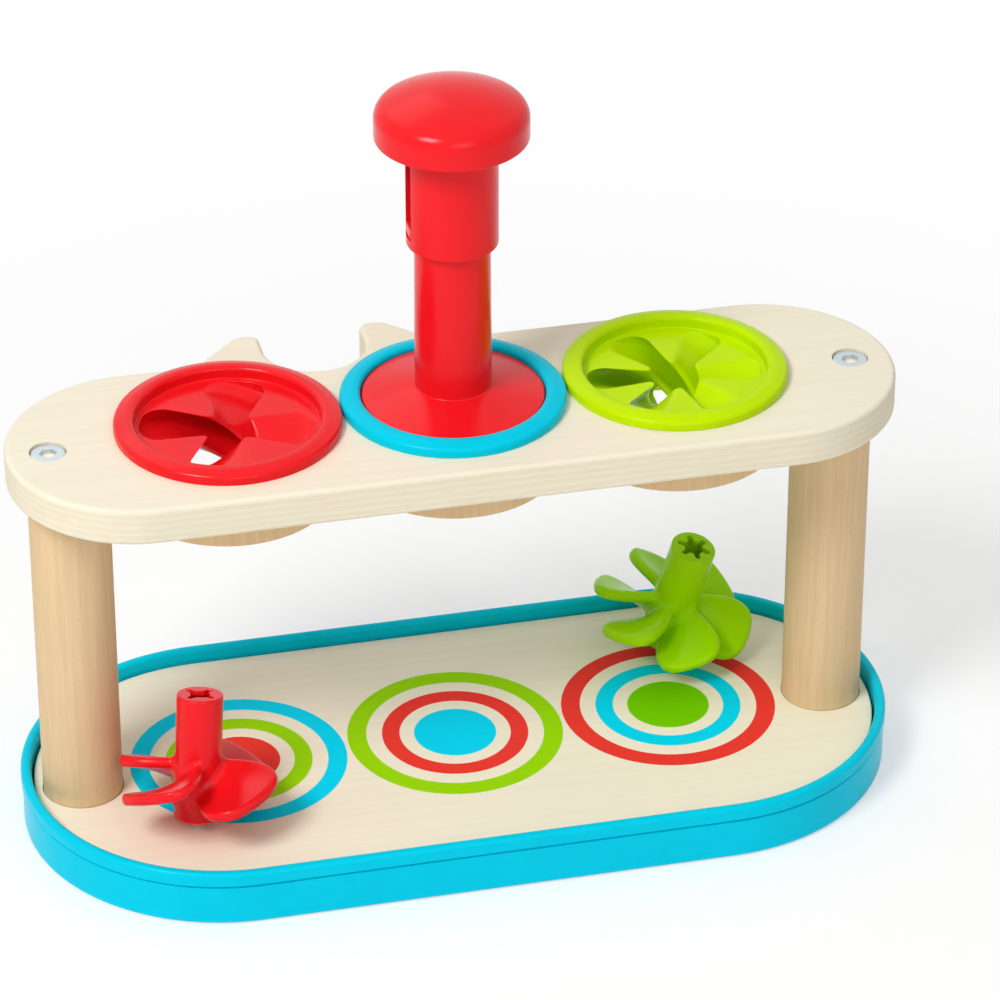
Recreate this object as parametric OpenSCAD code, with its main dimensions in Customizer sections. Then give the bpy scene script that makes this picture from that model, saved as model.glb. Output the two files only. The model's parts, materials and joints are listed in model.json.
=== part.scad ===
// Push-down spinning top launcher: a wooden stand whose shelf holds three slotted cups,
// a spring plunger that sits in one cup, and three bladed tops.
// Millimetres, +Z up, +X along the stand, front towards -Y,
// origin at the middle of the base's underside.

/* [Cups] */
// Outside diameter of a cup's rim
cup_d = 69.6; // [60:0.2:80]
// Gap between the rims of neighbouring cups
cup_gap = 0.4; // [0.2:0.1:6]
// Height of the rim's crest above the shelf
rim_h = 4.1; // [3.4:0.1:6]
// Width of the rim, from its outer side to the recess
rim_w = 6.4; // [5.4:0.1:8]
// Wall of the skirt that hangs through the shelf
skirt_wall = 2.2; // [1.6:0.1:3]
// How far the skirt reaches below the shelf
skirt_drop = 10; // [4:0.5:14]
// Height of the vanes in a cup
floor_t = 12; // [10:0.5:14]
// Distance of the cups' row behind the middle of the stand
cup_row_y = 2.5; // [0:0.5:5]

/* [Tops] */
// Diameter of a top's stem
stem_d = 14.5; // [12:0.5:18]
// Length of a top from its pivot to the end of its stem
top_length = 44; // [40:0.5:50]
// Height of a blade along the stem
blade_h = 14; // [12:0.5:15]
// Height of the blades' lower edge above the pivot's end
blade_start = 9; // [8.6:0.1:10]
// Thickness of a blade
blade_t = 3; // [2:0.1:3.2]
// Height that the blades and slots climb from one blade's place to the next
blade_climb = 12; // [11:0.5:13]
// Diameter of the pivot pin in a top's foot
pivot_d = 3.2; // [2.4:0.2:4]

/* [Plunger] */
// How far the knob is pushed down
press_travel = 28; // [22:1:30]
// Height of the guide tube above its plate
tube_h = 61.7; // [56:0.1:72]
// Thickness of the plate under the guide tube
plate_t = 2.3; // [1.8:0.1:3]
// Wall of the guide tube at its upper end
tube_wall = 2; // [1.6:0.1:3]
// How much the tube's radius grows towards its foot
tube_draft = 0.35; // [0.1:0.05:0.8]
// Wall of the sleeve below the knob
sleeve_wall = 2; // [1.6:0.1:3]
// Diameter of the knob
knob_d = 46.7; // [40:0.1:56]
// Height of the knob
knob_h = 16.2; // [15:0.1:22]
// Width of the slots in the sleeve's sides
key_slot_w = 7.5; // [5:0.5:9]
// Diameter of the spring's wire
wire_d = 1; // [0.8:0.1:1.2]
// Number of turns in the spring
spring_turns = 8; // [6:1:8]

/* [Stand] */
// Diameter of the posts
post_d = 25; // [20:0.5:32]
// Height between the board and the shelf
stand_gap = 111; // [95:1:130]
// Thickness of the shelf
shelf_t = 12; // [10:0.5:16]
// Depth of the shelf from front to back
shelf_depth = 81; // [78:0.5:92]
// How far the shelf reaches past the middle of a post
shelf_overhang = 18.5; // [16:0.5:26]
// Rounding of the shelf's edges
shelf_ease = 1.6; // [0.8:0.1:3]
// Thickness of the wooden collars under the shelf
collar_t = 11; // [8:0.5:14]
// Wall of the wooden collars
collar_wall = 3.1; // [2.6:0.1:6]
// Gap between a collar and the nearest post
post_gap = 5; // [2:0.5:10]
// How far a bolt sits outside the middle of its post
bolt_offset = 5.5; // [4:0.5:6]

/* [Base] */
// Depth of the base from front to back
base_depth = 129; // [127:1:150]
// Distance from a post to the end of the base
base_margin = 6.5; // [6:0.5:14]
// Thickness of the base board
board_t = 12; // [10:0.5:16]
// Thickness of the ledge under the board
ledge_t = 2; // [1.5:0.1:3]
// Width of the ledge under the board
ledge_w = 8; // [5:0.5:10]
// Wall of the rim around the board
rim_wall = 3.3; // [2.4:0.1:4]
// Height of the rim above the board
rim_stand = 4.5; // [3:0.1:7]
// Gap between the board and the rim
board_gap = 0.8; // [0.3:0.1:1]

/* [Hook] */
// Depth of the notch below the shelf's back edge
notch_depth = 11; // [9:0.5:13]
// Room round the plunger's sleeve in the notch
notch_room = 2; // [0.5:0.5:4]
// Width of a prong's end, from the notch to its outer shoulder
prong_w = 11; // [9:0.5:14]
// How far the prongs reach past the shelf's back edge
prong_reach = 15; // [12:0.5:18]
// Rounding of a prong's inner corner
prong_ease = 3; // [1:0.5:3]
// Rounding of a prong's outer shoulder
prong_round = 6; // [4:0.5:6]
// Radius of the hollow between a prong's flank and the shelf's edge
flank_r = 9; // [7:0.5:10]

/* [Bolts] */
// Diameter of a bolt's flat head
bolt_head_d = 11; // [9:0.2:12]
// Thickness of a bolt's head
bolt_head_t = 1.6; // [1.2:0.1:2]
// Depth of the bolt heads below the surface
bolt_sink = 0.6; // [0.2:0.1:1]
// Diameter of a bolt's shank
bolt_d = 6; // [4:0.5:6]
// Depth of the post's seat in the board
seat_depth = 6; // [4:0.5:7]
// Length of the threaded inserts in the posts
insert_l = 14; // [10:1:20]

/* [Places] */
// Red top's foot, left of the red cup's middle
red_top_dx = -19.3; // [-20:0.1:-14]
// Red top's foot, in front of the cups' row
red_top_dy = -33.4; // [-34.5:0.1:-30]
// Red top's lean in degrees
red_top_lean = 14.5; // [8:0.5:16]
// Direction that the red top leans to, counted from +X
red_top_dir = 68; // [0:1:360]
// Turn of the red top about its stem
red_top_turn = 39; // [0:1:90]
// Green top's foot, right of the green cup's middle
green_top_dx = 6; // [0:0.5:8]
// Green top's foot, behind the cups' row
green_top_dy = 33.3; // [26:0.1:34]
// Green top's lean in degrees
green_top_lean = 16.5; // [8:0.5:17]
// Direction that the green top leans to, counted from +X
green_top_dir = -47; // [-180:1:180]
// Turn of the green top about its stem
green_top_turn = 34; // [0:1:60]
// Turn of the red cup's slots
red_cup_turn = 30; // [0:1:90]
// Turn of the blue cup's slots
blue_cup_turn = 0; // [0:1:72]
// Turn of the green cup's slots
green_cup_turn = 25; // [0:1:60]

/* [Hidden] */
$fn = 96;

// Clearances
wood_fit = 0.2;      // a cup's skirt in its hole
seat_fit = 0.5;      // a post in its seat
shank_fit = 0.3;     // a bolt's shank in its hole
head_fit = 0.2;      // a bolt's head in its counterbore
thread_fit = 0.05;   // a bolt in its insert
plate_fit = 0.3;     // the plunger's plate in a cup's recess
blade_fit = 0.5;     // blade ends in a cup
hub_fit = 0.75;      // a stem in a cup's hub
stem_room = 2.25;    // a stem in the guide tube
sleeve_fit = 0.5;    // the sleeve on the guide tube
joint_gap = 0.3;     // pieces that move past or rest on each other
pivot_fit = 0.05;    // a pivot pin in its top
press_fit = 0.05;    // pieces pushed together for good
floor_margin = 0.5;  // waiting blades below the vanes' upper side
over = 1;            // how far a cut runs past the surface

// Colours
ply_colour = "#e9dcc0";
beech_colour = "#d9b184";
blue_colour = "#12a5d6";
red_colour = "#e0242c";
green_colour = "#a9d500";
leaf_colour = "#6fb400";
zinc_colour = "#b9c0c6";
nylon_colour = "#e8e4da";

// Cups, measured from the middle of a cup outwards
rim_inner_r = cup_d / 2 - rim_w;
rim_root = 0.8;
skirt_r = rim_inner_r + rim_root;
skirt_inner_r = skirt_r - skirt_wall;
hub_r = stem_d / 2 + hub_fit;
cup_hole_r = skirt_r + wood_fit;
collar_r = cup_hole_r + collar_wall;
skirt_h = shelf_t + skirt_drop;
cup_spacing = cup_d + cup_gap;

// Shape of a cup's rim: a domed outer side and a round inner edge that meet at the crest
rim_side_h = 0.34 * rim_h;
rim_inner_round = 2.2;
crest_r = rim_inner_r + rim_inner_round;
dome_w = cup_d / 2 - crest_r;
dome_drop = rim_h - rim_side_h;
dome_r = (dome_w * dome_w + dome_drop * dome_drop) / (2 * dome_drop);

// Vanes of a cup: what the slots leave of its floor
slot_share = 0.53;
vane_root_r = skirt_inner_r + 0.4 * skirt_wall;
vane_tip_w = 3;
vane_drop = 0.1;
vane_round = 6.8;
vane_flare_r = skirt_inner_r + 0.3 - vane_round;
vane_slices = 8;
vane_flare_steps = 5;
vane_root_steps = 4;

// Heights
board_bottom = ledge_t;
board_top = board_bottom + board_t;
rim_top = board_top + rim_stand;
shelf_bottom = board_top + stand_gap;
shelf_top = shelf_bottom + shelf_t;
seat_z = board_top - seat_depth;

// Places along the stand
post_x = cup_spacing + collar_r + post_gap + post_d / 2;
bolt_x = post_x + bolt_offset;
base_straight = 2 * (post_x + post_d / 2 + base_margin) - base_depth;
shelf_straight = 2 * (post_x + shelf_overhang) - shelf_depth;

// Base rim
rim_lip = 0.4;
rim_lip_h = 4.6;
rim_round = 1.4;
rim_inner = base_depth / 2 - rim_wall;
board_r = rim_inner - board_gap;
board_ease = 0.6;

// Number of blades on each top and of slots in each cup
red_blades = 4;
blue_blades = 5;
green_blades = 6;

// Tops, measured up from the pivot's end
blade_r = skirt_inner_r - blade_fit;
blade_root_r = stem_d / 2 - 1.8;
blade_mid = blade_start + blade_h / 2;
blade_stations = 7;
blade_side_points = 8;
blade_cap_steps = 3;
blade_fullness = 3;
foot_r = 2.6;
foot_z = 1.4;
cone_z = 4;
stem_ease = 0.5;
pivot_r = pivot_d / 2;
pivot_l = 9;
socket_core_r = 3.2;
socket_r = 4.7;
socket_arm_w = 2.4;
socket_mouth = 1.6;
socket_bore_r = 4.9;
socket_depth = 18;

// The blue top waits in its cup with its blades inside the vanes
blue_top_z = shelf_top - floor_margin - blade_h - blade_start;
blue_stem_end = blue_top_z + top_length;
blue_blade_z = blue_top_z + blade_mid - shelf_top;
blue_top_turn = 360 * (blue_blade_z + floor_t / 2) / blade_lead(blue_blades);

// Guide tube and its plate
plate_r = rim_inner_r - plate_fit;
plate_ease = 0.7;
plate_top = shelf_top + plate_t;
tube_bore_r = stem_d / 2 + stem_room;
tube_r = tube_bore_r + tube_wall;
tube_foot_r = tube_r + tube_draft;
tube_top = plate_top + tube_h;
tube_cap_t = 3.5;
tube_fillet = 1.2;

// Sleeve, held by two keys of the tube in its side slots
sleeve_bore_r = tube_r + sleeve_fit;
sleeve_r = sleeve_bore_r + sleeve_wall;
key_h = 3.4;
key_below_top = 1.8;
key_top = tube_top - key_below_top;
key_w = key_slot_w - 2 * 0.4;
key_r = sleeve_r - 0.4;
sleeve_lip = 3;
slot_bottom = key_top - key_h - joint_gap;
sleeve_bottom = slot_bottom - sleeve_lip;
knob_bottom = key_top + press_travel + 2 * joint_gap;

// Knob
knob_r = knob_d / 2;
knob_wall = 2.5;
knob_ease = 0.8;
shoulder_r = 5.5;
crown_r = 45;
crown_z = knob_h - crown_r;
shoulder_x = knob_r - shoulder_r;
shoulder_z = crown_z + sqrt(pow(crown_r - shoulder_r, 2) - pow(shoulder_x, 2));
crown_edge_x = shoulder_x * crown_r / (crown_r - shoulder_r);
knob_socket_h = 4.2;
knob_socket_wall = 1.6;
knob_ceiling = knob_h - 5;
rod_socket_h = 2.6;

// Drive rod: a round core with one rib that winds the other way from the blades
rod_r = 2.8;
rib_r = 4.4;
rib_w = 0.8;
rib_step = 2;
rod_hole_r = rib_r + 0.4;
rod_end = blue_stem_end + joint_gap;
rib_lag = 360 * (joint_gap + socket_mouth / 2) / blade_lead(blue_blades);
rib_turn = blue_cup_turn + blue_top_turn - rib_lag;
rod_top = knob_bottom + knob_ceiling;

// Return spring
spring_r = 8;
spring_low = tube_top + wire_d / 2 + 0.05;
spring_high = knob_bottom + knob_ceiling - wire_d / 2 - joint_gap;
spring_rings = 8;
spring_sides = 6;

// Hook for the plunger at the shelf's back edge, between the red and blue cups
hook_x = -cup_spacing / 2;
notch_r = sleeve_r + notch_room;
shelf_back = shelf_depth / 2;
notch_y = shelf_back - notch_depth + notch_r;
prong_end = shelf_back + prong_reach;
prong_x = notch_r + prong_w - prong_round;
prong_y = prong_end - prong_round;
flank_x = prong_x + prong_y - shelf_back + prong_round * sqrt(2);
flank_run = flank_r * tan(22.5);

// Bolts and inserts
bolt_hole_r = bolt_d / 2 + shank_fit;
head_hole_r = bolt_head_d / 2 + head_fit;
hex_d = 4.6;
hex_depth = 1.2;
insert_r = bolt_d / 2 + 1.6;
insert_inset = 1;

// Half of a plate's section, from the axis to a rounded edge at radius r
module eased_section(r, low, high, ease) {
    translate([0, low]) square([r - ease, high - low]);
    translate([0, low + ease]) square([r, high - low - 2 * ease]);
    for (z = [low + ease, high - ease])
        translate([r - ease, z]) circle(ease);
}

// Carries a half section round a track with two straight sides and two round ends
module around_track(straight) {
    for (side = [-1, 1])
        translate([side * straight / 2, 0, 0])
            rotate(-90 * side)
                rotate_extrude(angle = 180) children();
    for (side = [0, 1])
        mirror([0, side, 0])
            rotate([90, 0, 90])
                linear_extrude(height = straight, center = true) children();
}

// Closed skin through rings of equal length, each counter-clockwise seen from the last ring's end
module loft(rings) {
    count = len(rings[0]);
    last = len(rings) - 1;
    skin = [
        for (j = [0:last - 1]) for (k = [0:count - 1])
            let (a = j * count + k)
            let (b = j * count + (k + 1) % count)
            each [[a, a + count, b], [b, a + count, b + count]]
    ];
    start = [[for (k = [0:count - 1]) k]];
    end = [[for (k = [count - 1:-1:0]) last * count + k]];
    polyhedron([for (ring = rings) each ring], concat(skin, start, end));
}

// A flat outline turned about the axis and raised
function turned(outline, angle, z) =
    [for (p = outline) [
        p[0] * cos(angle) - p[1] * sin(angle),
        p[0] * sin(angle) + p[1] * cos(angle),
        z,
    ]];

module at_cups() {
    for (i = [-1:1])
        translate([i * cup_spacing, cup_row_y, 0]) children();
}

module at_both(x) {
    for (side = [-1, 1])
        translate([side * x, 0, 0]) children();
}

// Section of the rim around the board, with its ledge and lip
module base_rim_section() {
    wall_r = base_depth / 2 - rim_lip;
    lip_z = rim_top - rim_lip_h;
    translate([rim_inner - ledge_w, 0]) square([ledge_w + rim_wall / 2, ledge_t]);
    translate([rim_inner, 0]) square([wall_r - rim_inner, lip_z + over / 2]);
    translate([rim_inner, lip_z]) square([rim_wall, rim_lip_h - rim_round]);
    translate([rim_inner + rim_round, lip_z])
        square([rim_wall - 2 * rim_round, rim_lip_h]);
    for (x = [rim_inner + rim_round, base_depth / 2 - rim_round])
        translate([x, rim_top - rim_round]) circle(rim_round);
}

module base_rim() {
    color(blue_colour) around_track(base_straight) base_rim_section();
}

module base_board() {
    color(ply_colour)
        difference() {
            around_track(base_straight)
                eased_section(board_r, board_bottom, board_top, board_ease);
            at_both(post_x)
                translate([0, 0, seat_z]) cylinder(r = post_d / 2 + seat_fit, h = seat_depth + over);
            at_both(post_x) {
                cylinder(r = bolt_hole_r, h = board_top);
                cylinder(r = head_hole_r, h = board_bottom + bolt_sink + bolt_head_t);
            }
        }
}

module post() {
    difference() {
        translate([0, 0, seat_z]) cylinder(d = post_d, h = shelf_bottom - seat_z);
        translate([0, 0, seat_z - over])
            cylinder(r = insert_r + press_fit, h = insert_l + insert_inset + over);
        translate([bolt_offset, 0, shelf_bottom - insert_l - insert_inset])
            cylinder(r = insert_r + press_fit, h = insert_l + insert_inset + over);
    }
}

module left_post() {
    color(beech_colour) translate([-post_x, 0, 0]) rotate(180) post();
}

module right_post() {
    color(beech_colour) translate([post_x, 0, 0]) post();
}

// Threaded sleeves in both ends of both posts
module post_inserts() {
    color(zinc_colour) {
        at_both(post_x) translate([0, 0, seat_z + insert_inset]) insert();
        at_both(bolt_x) translate([0, 0, shelf_bottom - insert_inset - insert_l]) insert();
    }
}

module insert() {
    difference() {
        cylinder(r = insert_r, h = insert_l);
        translate([0, 0, -over]) cylinder(r = bolt_d / 2 + thread_fit, h = insert_l + 2 * over);
    }
}

// A bolt with a flat head, a six-sided socket and its shank below the head's underside
module bolt(shank) {
    difference() {
        cylinder(d = bolt_head_d, h = bolt_head_t);
        translate([0, 0, bolt_head_t - hex_depth]) cylinder(d = hex_d, h = hex_depth + over, $fn = 6);
    }
    translate([0, 0, -shank]) cylinder(d = bolt_d, h = shank);
}

module shelf_bolts() {
    seat = shelf_top - bolt_sink - bolt_head_t;
    color(zinc_colour)
        at_both(bolt_x)
            translate([0, 0, seat]) bolt(seat - shelf_bottom + insert_inset + insert_l - over);
}

module base_bolts() {
    seat = board_bottom + bolt_sink + bolt_head_t;
    color(zinc_colour)
        at_both(post_x)
            translate([0, 0, seat])
                rotate([180, 0, 0]) bolt(seat_z - seat + insert_inset + insert_l - over);
}

// Right half of the hook seen from above: a prong with a sloping flank that runs out in a hollow
module prong_plan() {
    polygon([
        [0, 0], [flank_x, 0], [flank_x, shelf_back],
        [prong_x + prong_round * cos(45), prong_y + prong_round * sin(45)],
        [prong_x, prong_end], [0, prong_end],
    ]);
    translate([prong_x, prong_y]) circle(prong_round);
    difference() {
        polygon([
            [flank_x - flank_run, shelf_back - over], [flank_x + flank_run, shelf_back - over],
            [flank_x + flank_run, shelf_back],
            [flank_x - flank_run * cos(45), shelf_back + flank_run * sin(45)],
        ]);
        translate([flank_x + flank_run, shelf_back + flank_r]) circle(flank_r);
    }
}

module hook_plan() {
    for (side = [0, 1])
        mirror([side, 0]) prong_plan();
}

// Round notch between the prongs, with eased corners at its mouth
module notch_plan() {
    mouth_y = prong_end - prong_ease;
    translate([0, notch_y]) circle(notch_r);
    translate([-notch_r, notch_y]) square([2 * notch_r, prong_end + over - notch_y]);
    difference() {
        translate([-notch_r - prong_ease, mouth_y]) square([2 * (notch_r + prong_ease), prong_ease + over]);
        for (side = [-1, 1])
            translate([side * (notch_r + prong_ease), mouth_y]) circle(prong_ease);
    }
}

module shelf() {
    color(ply_colour)
        difference() {
            union() {
                around_track(shelf_straight)
                    eased_section(shelf_depth / 2, shelf_bottom, shelf_top, shelf_ease);
                translate([hook_x, 0, shelf_bottom])
                    linear_extrude(height = shelf_t) hook_plan();
            }
            translate([hook_x, 0, shelf_bottom - over])
                linear_extrude(height = shelf_t + 2 * over) notch_plan();
            at_cups()
                translate([0, 0, shelf_bottom - over]) cylinder(r = cup_hole_r, h = shelf_t + 2 * over);
            at_both(bolt_x) {
                translate([0, 0, shelf_bottom - over]) cylinder(r = bolt_hole_r, h = shelf_t + 2 * over);
                translate([0, 0, shelf_top - bolt_sink - bolt_head_t])
                    cylinder(r = head_hole_r, h = bolt_head_t + bolt_sink + over);
            }
        }
}

module collar() {
    translate([0, cup_row_y, shelf_bottom - collar_t])
        difference() {
            cylinder(r = collar_r, h = collar_t);
            translate([0, 0, -over]) cylinder(r = cup_hole_r, h = collar_t + 2 * over);
        }
}

module red_collar() {
    color(beech_colour) translate([-cup_spacing, 0, 0]) collar();
}

module blue_collar() {
    color(beech_colour) collar();
}

module green_collar() {
    color(beech_colour) translate([cup_spacing, 0, 0]) collar();
}

// Section of a cup's rim above the shelf
module cup_rim_section() {
    translate([rim_inner_r, 0]) square([rim_inner_round, rim_h - rim_inner_round]);
    intersection() {
        translate([crest_r, rim_h - rim_inner_round]) circle(rim_inner_round);
        translate([rim_inner_r, 0]) square([rim_inner_round, rim_h]);
    }
    intersection() {
        translate([crest_r, rim_h - dome_r]) circle(dome_r);
        translate([crest_r, 0]) square([dome_w, rim_h]);
    }
}

// Section of a cup's skirt, which hangs from the inner edge of its rim
module cup_skirt_section() {
    translate([skirt_inner_r, -skirt_h]) square([skirt_wall, skirt_h]);
}

// One side of a vane: straight from the hub, then flared so that the slot beside it has a round end
function vane_side(count) =
    let (half = 180 / count)
    let (slot = slot_share * half)
    concat(
        [[hub_r, asin(vane_tip_w / 2 / hub_r)]],
        [for (i = [0:vane_flare_steps - 1])
            let (a = 90 * i / (vane_flare_steps - 0.6))
            [vane_flare_r + vane_round * sin(a), half - slot * cos(a)]]
    );

// Outline of one vane, from its end at the hub to its root in the skirt
function vane_outline(count) =
    let (side = vane_side(count))
    let (root = 180 / count - 3)
    concat(
        [for (p = side) p[0] * [cos(p[1]), -sin(p[1])]],
        [for (i = [0:vane_root_steps])
            let (a = root * (2 * i / vane_root_steps - 1)) vane_root_r * [cos(a), sin(a)]],
        [for (i = [len(side) - 1:-1:0]) side[i][0] * [cos(side[i][1]), sin(side[i][1])]],
        [[hub_r, 0]]
    );

// Vanes that climb with the blades' lead, so that a top screws down through the slots between them
module helical_vanes(count, turn) {
    lead = blade_lead(count);
    climb = floor_t - vane_drop;
    outline = vane_outline(count);
    for (i = [0:count - 1])
        rotate(turn + (i + 0.5) * 360 / count - 180 * floor_t / lead)
            translate([0, 0, -floor_t])
                loft([for (j = [0:vane_slices])
                    turned(outline, 360 * climb / lead * j / vane_slices, climb * j / vane_slices)]);
}

module cup(index, count, turn) {
    translate([index * cup_spacing, cup_row_y, shelf_top]) {
        rotate_extrude() {
            cup_rim_section();
            cup_skirt_section();
        }
        helical_vanes(count, turn);
    }
}

module red_cup() {
    color(red_colour) cup(-1, red_blades, red_cup_turn);
}

module blue_cup() {
    color(blue_colour) cup(0, blue_blades, blue_cup_turn);
}

module green_cup() {
    color(green_colour) cup(1, green_blades, green_cup_turn);
}

// Flange, drafted tube and cap of the plunger's fixed half, with the keys that hold the sleeve
module guide_tube() {
    color(red_colour)
        translate([0, cup_row_y, 0])
            difference() {
                union() {
                    rotate_extrude() eased_plate_section();
                    translate([0, 0, plate_top])
                        cylinder(r1 = tube_foot_r, r2 = tube_r, h = tube_h);
                    for (side = [0, 180])
                        rotate(side)
                            translate([tube_r - tube_wall / 2, -key_w / 2, key_top - key_h])
                                cube([key_r - tube_r + tube_wall / 2, key_w, key_h]);
                }
                translate([0, 0, shelf_top - over])
                    cylinder(r = tube_bore_r, h = tube_top - tube_cap_t - shelf_top + over);
                cylinder(r = rod_hole_r, h = tube_top + over);
            }
}

module eased_plate_section() {
    translate([0, shelf_top]) square([plate_r, plate_t - plate_ease]);
    translate([0, shelf_top]) square([plate_r - plate_ease, plate_t]);
    translate([plate_r - plate_ease, plate_top - plate_ease]) circle(plate_ease);
    difference() {
        translate([0, plate_top]) square([tube_foot_r + tube_fillet, tube_fillet]);
        translate([tube_foot_r + tube_fillet, plate_top + tube_fillet]) circle(tube_fillet);
    }
}

// Points of the spring's wire: rings of a round section along a helix
function spring_centre(i) =
    let (turn = i / spring_rings)
    [
        spring_r * cos(360 * turn),
        spring_r * sin(360 * turn),
        spring_low + (spring_high - spring_low) * turn / spring_turns,
    ];

function spring_point(i, k) =
    let (around = 360 * i / spring_rings)
    let (tilt = 360 * k / spring_sides)
    spring_centre(i) + wire_d / 2 * [
        cos(tilt) * cos(around),
        cos(tilt) * sin(around),
        -sin(tilt),
    ];

// Least gap between turns, measured on the points of the wire's middle line
spring_last = spring_turns * spring_rings;
spring_least_gap = min([
    for (i = [0:spring_last - spring_rings / 2]) for (j = [i + spring_rings / 2:spring_last])
        norm(spring_centre(i) - spring_centre(j))
]) - wire_d;
echo("Least gap between the spring's turns", spring_least_gap);

module return_spring() {
    color(zinc_colour)
        translate([0, cup_row_y, 0])
            loft([for (i = [0:spring_last])
                [for (k = [0:spring_sides - 1]) spring_point(i, k)]]);
}

// Tube under the knob, with a slot in each side for the guide tube's keys
module sleeve() {
    color(red_colour)
        translate([0, cup_row_y, sleeve_bottom])
            difference() {
                cylinder(r = sleeve_r, h = knob_bottom + knob_socket_h - sleeve_bottom);
                translate([0, 0, -over])
                    cylinder(r = sleeve_bore_r, h = knob_bottom + knob_socket_h - sleeve_bottom + 2 * over);
                translate([-sleeve_r - over, -key_slot_w / 2, sleeve_lip])
                    cube([2 * sleeve_r + 2 * over, key_slot_w, knob_bottom - slot_bottom]);
            }
}

// Section of the knob: a short upright side, a round shoulder and a shallow crown
module knob_section() {
    translate([0, knob_ease]) square([knob_r, shoulder_z - knob_ease]);
    square([knob_r - knob_ease, shoulder_z]);
    translate([knob_r - knob_ease, knob_ease]) circle(knob_ease);
    translate([shoulder_x, shoulder_z]) circle(shoulder_r);
    intersection() {
        translate([0, crown_z]) circle(crown_r);
        square([crown_edge_x, knob_h]);
    }
}

module knob() {
    hollow_r = sleeve_r + press_fit + knob_socket_wall;
    color(red_colour)
        translate([0, cup_row_y, knob_bottom])
            difference() {
                rotate_extrude()
                    difference() {
                        knob_section();
                        translate([hollow_r, -over])
                            square([knob_r - knob_wall - hollow_r, shoulder_z + over]);
                        translate([0, -over]) square([sleeve_r + press_fit, knob_socket_h + over]);
                        square([sleeve_bore_r, knob_ceiling]);
                        square([rod_r + press_fit, knob_ceiling + rod_socket_h]);
                    }
            }
}

// Core and left-hand rib of the rod that turns a top
module drive_rod() {
    rib_l = rod_top - rod_end;
    steps = ceil(rib_l / rib_step);
    outline = [
        [rod_r - rib_w, -rib_w / 2], [rib_r, -rib_w / 2],
        [rib_r, rib_w / 2], [rod_r - rib_w, rib_w / 2],
    ];
    color(nylon_colour)
        translate([0, cup_row_y, rod_end]) {
            cylinder(r = rod_r, h = rib_l + rod_socket_h);
            rotate(rib_turn)
                loft([for (j = [0:steps])
                    turned(outline, -360 * rib_l / blade_lead(blue_blades) * j / steps, rib_l * j / steps)]);
        }
}

// Height that blades and slots climb in one full turn
function blade_lead(count) = blade_climb * count;

// Angle of the blade's slope at radius r
function blade_pitch(r, count) = atan(blade_lead(count) / (2 * PI * r));

// Points round the section of a blade: two long sides and two round edges
function blade_loop(half, thick) =
    let (flat = max(half - thick / 2, 0.01))
    concat(
        [for (i = [0:blade_side_points - 1]) [flat * (2 * i / (blade_side_points - 1) - 1), -thick / 2]],
        [for (i = [1:blade_cap_steps - 1])
            let (a = -90 + 180 * i / blade_cap_steps) [flat + thick / 2 * cos(a), thick / 2 * sin(a)]],
        [for (i = [0:blade_side_points - 1]) [flat * (1 - 2 * i / (blade_side_points - 1)), thick / 2]],
        [for (i = [1:blade_cap_steps - 1])
            let (a = 90 + 180 * i / blade_cap_steps) [thick / 2 * cos(a) - flat, thick / 2 * sin(a)]]
    );

// One section of a blade laid on the cylinder of its radius
function blade_ring(j, count) =
    let (share = sin(90 * j / blade_stations))
    let (r = blade_root_r + (blade_r - blade_root_r) * share)
    let (pitch = blade_pitch(r, count))
    let (thick = blade_t * (share < 0.9 ? 1 : max(0.35, sqrt(1 - pow((share - 0.9) / 0.1, 2)))))
    let (rise = (blade_h - thick) * pow(max(0.001, 1 - pow(share, blade_fullness)), 1 / blade_fullness))
    let (half = rise / 2 / sin(pitch) + thick / 2)
    [for (p = blade_loop(half, thick))
        let (along = p[0] * cos(pitch) - p[1] * sin(pitch))
        let (turn = along / r * 180 / PI)
        [r * cos(turn), r * sin(turn), blade_mid + p[0] * sin(pitch) + p[1] * cos(pitch)]];

// A paddle-shaped blade that follows a right-hand screw
module blade(count) {
    loft([for (j = [0:blade_stations]) blade_ring(j, count)]);
}

// A top: stem with a coned foot, blades, a star socket for the rod and a bore for the pivot
module top(count) {
    difference() {
        union() {
            rotate_extrude()
                polygon([
                    [0, foot_z], [foot_r, foot_z], [stem_d / 2, cone_z],
                    [stem_d / 2, top_length - stem_ease], [stem_d / 2 - stem_ease, top_length],
                    [0, top_length],
                ]);
            for (i = [0:count - 1])
                rotate(i * 360 / count) blade(count);
        }
        cylinder(r = pivot_r + pivot_fit, h = pivot_l + joint_gap);
        translate([0, 0, top_length - socket_depth])
            cylinder(r = socket_bore_r, h = socket_depth - socket_mouth);
        translate([0, 0, top_length - socket_mouth - over]) {
            cylinder(r = socket_core_r, h = socket_mouth + 2 * over);
            for (i = [0:count - 1])
                rotate(i * 360 / count)
                    translate([0, -socket_arm_w / 2, 0])
                        cube([socket_r, socket_arm_w, socket_mouth + 2 * over]);
        }
    }
}

// Pin with a round end, on which a top turns
module pivot() {
    rotate_extrude() {
        translate([0, pivot_r]) square([pivot_r, pivot_l - pivot_r]);
        intersection() {
            translate([0, pivot_r]) circle(pivot_r);
            square(2 * pivot_r);
        }
    }
}

// Stands a piece on the board at x, y from the middle of a cup, leaning towards a direction
module standing(index, dx, dy, lean, direction, turn) {
    translate([index * cup_spacing + dx, cup_row_y + dy, board_top + joint_gap + pivot_r])
        rotate([0, lean, direction])
            rotate(turn - direction)
                translate([0, 0, -pivot_r]) children();
}

module at_red_top() {
    standing(-1, red_top_dx, red_top_dy, red_top_lean, red_top_dir, red_top_turn) children();
}

module at_green_top() {
    standing(1, green_top_dx, green_top_dy, green_top_lean, green_top_dir, green_top_turn) children();
}

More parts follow.
